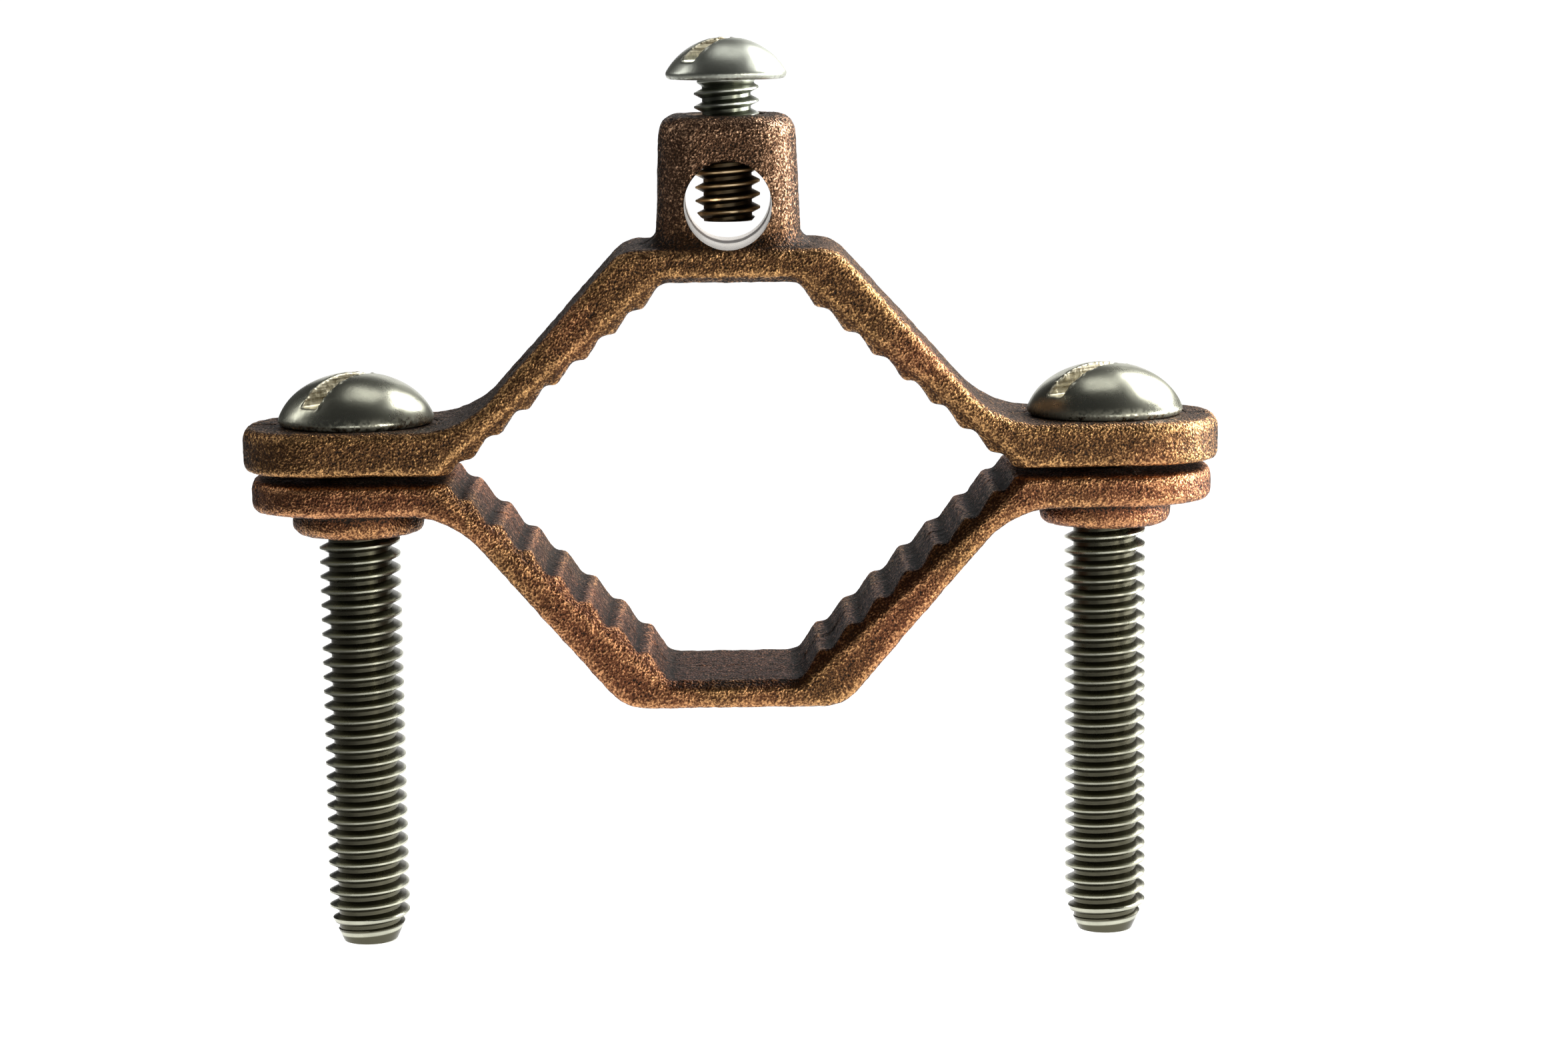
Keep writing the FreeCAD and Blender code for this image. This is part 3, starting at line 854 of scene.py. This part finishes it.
lower_jaw = cast("lower_jaw", "lower_jaw_casting", in_lower_hole, lower_high.z, COPPERY_CAST, seed=9.0)
screw_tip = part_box("clamp_screw_left")[0].z
pitch = CLAMP_SCREW["pitch"]
turns_below = math.floor((-2 * BOSS_DEPTH - screw_tip) / pitch)
for x in screw_places:
    cut(lower_jaw, threaded_rod("tap", {
        "Pitch": pitch, "Bottom": screw_tip + turns_below * pitch, "Top": TAP_TOP,
        "Crest Radius": TAPPED_HOLE + TAP_OVERSIZE, "Root Radius": TAPPED_HOLE - TAP_DEPTH_SHARE * pitch,
        "Tip Radius": TAP_TIP, "Tip Length": TAP_TIP_LENGTH,
        "Neck Radius": TAPPED_HOLE - TAP_DEPTH_SHARE * pitch, "Neck Length": pitch,
        "Axis X": x, "Material": DRILLED}))
report(lower_jaw)

# %% [markdown]
# ## Shading, and what each piece stands for
# Smooth shading hides the small faces, but it would also blur the rim of a drilled hole. Edges
# steeper than an angle are therefore marked sharp. Where a cut is shallow, as at the edge of the
# wire hole near the plate, the angle is too small for that rule, so every edge between two
# finishes is marked as well. Each piece then takes the place of its CAD node and rides with it.

# %% Soft shading, sharp only at true edges
SHARP = math.radians(42)


def sharpen_cuts(piece):
    """Marks every edge between two finishes sharp."""
    shape = bmesh.new()
    shape.from_mesh(piece.data)
    for edge in shape.edges:
        if len({face.material_index for face in edge.link_faces}) > 1:
            edge.smooth = False
    shape.to_mesh(piece.data)
    shape.free()


pieces = {
    "upper_jaw": (upper_jaw, "cast_bronze"), "lower_jaw": (lower_jaw, "cast_bronze"),
    "clamp_screw_left": (left_screw, "clamp_screw_steel"),
    "clamp_screw_right": (right_screw, "clamp_screw_steel"), "lug_screw": (lug_screw, "lug_screw_steel")}
for node, (piece, slot) in pieces.items():
    piece.data.shade_smooth()
    piece.data.set_sharp_from_angle(angle=SHARP)
    sharpen_cuts(piece)
    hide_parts(node)
    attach(piece, node)
    triangles = sum(len(face.vertices) - 2 for face in piece.data.polygons)
    print(piece.name, "stands for", node, "with", triangles, "triangles")

# %% [markdown]
# ## Floor, light and camera
# The clamp is held high enough over a pale sheet for its lower jaw to travel to the tips of the
# screws, and far behind it the sheet curves up. The sheet glows only in the wedge behind the
# clamp and is dim in front and to both sides, and the soft lights are small and stand mostly to
# the right: metal looks like metal only when it has something dark to reflect. Places and sizes
# of the lights are in metres, and powers in watts.

# %% The glow of the sheet, in metres
GLOW_POINT = 0.40
GLOW_SPREAD = 0.23
GLOW_EDGE = 0.06
FRONT_FADE_FROM, FRONT_FADE_FULL = -0.08, -0.16
SHEET_GREY = (0.20, 0.20, 0.20, 1.0)
WHITE = (1.0, 1.0, 1.0)
WARM_WHITE = (1.0, 0.97, 0.92)
DIM = (0.05, 0.05, 0.05)


def pale_sheet():
    """A sheet that glows in a wedge which is wider the further back it is."""
    material, graph, place = shader("pale_sheet")
    part = graph.parts(place)
    depth = part.named("Y")
    beside = abs(part.named("X")) - (depth + GLOW_POINT) * GLOW_SPREAD
    in_front = graph.ease(depth, FRONT_FADE_FROM, FRONT_FADE_FULL)
    dark = graph.largest(in_front, graph.ease(beside, 0.0, GLOW_EDGE))
    finish_shader(graph, {"Base Color": SHEET_GREY, "Roughness": 0.9,
                          "Emission Color": graph.blend(dark, WHITE, DIM), "Emission Strength": 1.0})
    return material


# %% A pale sheet that curves up
SWEEP_HALF_WIDTH = 9.0
SWEEP_FRONT = -1.5
SWEEP_BACK = 14.0
SWEEP_RADIUS = 3.0
SWEEP_STEPS = 12
OPEN_JAW_DROP = 40.0 * MM

floor_height = lower_low.z - OPEN_JAW_DROP
outline = [(SWEEP_FRONT, 0.0), (SWEEP_BACK, 0.0)]
for step in range(1, SWEEP_STEPS + 1):
    angle = math.radians(90 * step / SWEEP_STEPS)
    outline.append((SWEEP_BACK + SWEEP_RADIUS * math.sin(angle), SWEEP_RADIUS * (1 - math.cos(angle))))
outline.append((SWEEP_BACK + SWEEP_RADIUS, 3 * SWEEP_RADIUS))
shape = bmesh.new()
left_side = [shape.verts.new((-SWEEP_HALF_WIDTH, y, floor_height + z)) for y, z in outline]
right_side = [shape.verts.new((SWEEP_HALF_WIDTH, y, floor_height + z)) for y, z in outline]
for corners in zip(left_side, right_side, right_side[1:], left_side[1:]):
    shape.faces.new(corners)
pale_floor = piece_from(shape, "pale_floor")
pale_floor.data.materials.append(pale_sheet())
pale_floor.data.shade_smooth()
print("sheet height", floor_height)


# %% Lights
def soft_light(name, place, target, width, height, power, colour=WHITE):
    """A rectangular area light that faces the target."""
    light = bpy.data.lights.new(name, "AREA")
    light.shape = "RECTANGLE"
    light.size = width
    light.size_y = height
    light.energy = power
    light.color = colour
    lamp = bpy.data.objects.new(name, light)
    lamp.location = place
    lamp.rotation_euler = (Vector(target) - Vector(place)).to_track_quat("-Z", "Y").to_euler()
    bpy.context.scene.collection.objects.link(lamp)


soft_light("right_back_softbox", (0.31, 0.19, 0.28), (0, 0, 0), 0.34, 0.30, 3.2)
soft_light("right_side_softbox", (0.34, 0.04, 0.02), (0, 0, 0.02), 0.28, 0.10, 1.8)
soft_light("left_back_softbox", (-0.42, 0.12, 0.26), (0, 0, 0), 0.12, 0.30, 0.35)
soft_light("top_softbox", (0.02, 0.12, 0.50), (0, 0, 0), 0.25, 0.25, 0.22)
soft_light("right_front_softbox", (0.33, -0.36, 0.04), (0.01, 0, 0.0), 0.10, 0.12, 0.80, WARM_WHITE)
soft_light("low_front_softbox", (0.04, -0.30, -0.01), (0, 0, -0.01), 0.30, 0.05, 0.11)
world = bpy.data.worlds.new("studio")
world.use_nodes = True
sky = world.node_tree.nodes["Background"].inputs
sky["Color"].default_value = (0.55, 0.56, 0.58, 1.0)
sky["Strength"].default_value = 0.06
bpy.context.scene.world = world
bpy.context.scene.view_settings.view_transform = "Standard"
print("lights:", len(bpy.data.lights))

# %% Camera, with its angles in radians
CAMERA_PLACE = Vector((0.0, -364.4, 47.7)) * MM
CAMERA_TURN = 0.01366
CAMERA_TILT = 0.14373
CAMERA_ROLL = 0.01267
FOCAL_LENGTH_MM = 87.48
SENSOR_WIDTH_MM = 36.0
SIGHT_METRES = 60.0

camera_data = bpy.data.cameras.new("camera")
camera_data.sensor_width = SENSOR_WIDTH_MM
camera_data.lens = FOCAL_LENGTH_MM
camera_data.clip_end = SIGHT_METRES
camera = bpy.data.objects.new("camera", camera_data)
aim = Matrix.Rotation(-CAMERA_TURN, 4, "Z") @ Matrix.Rotation(math.pi / 2 - CAMERA_TILT, 4, "X")
camera.matrix_world = Matrix.Translation(CAMERA_PLACE) @ aim @ Matrix.Rotation(-CAMERA_ROLL, 4, "Z")
bpy.context.scene.collection.objects.link(camera)
bpy.context.scene.camera = camera
print("camera at", list(camera.matrix_world.translation))
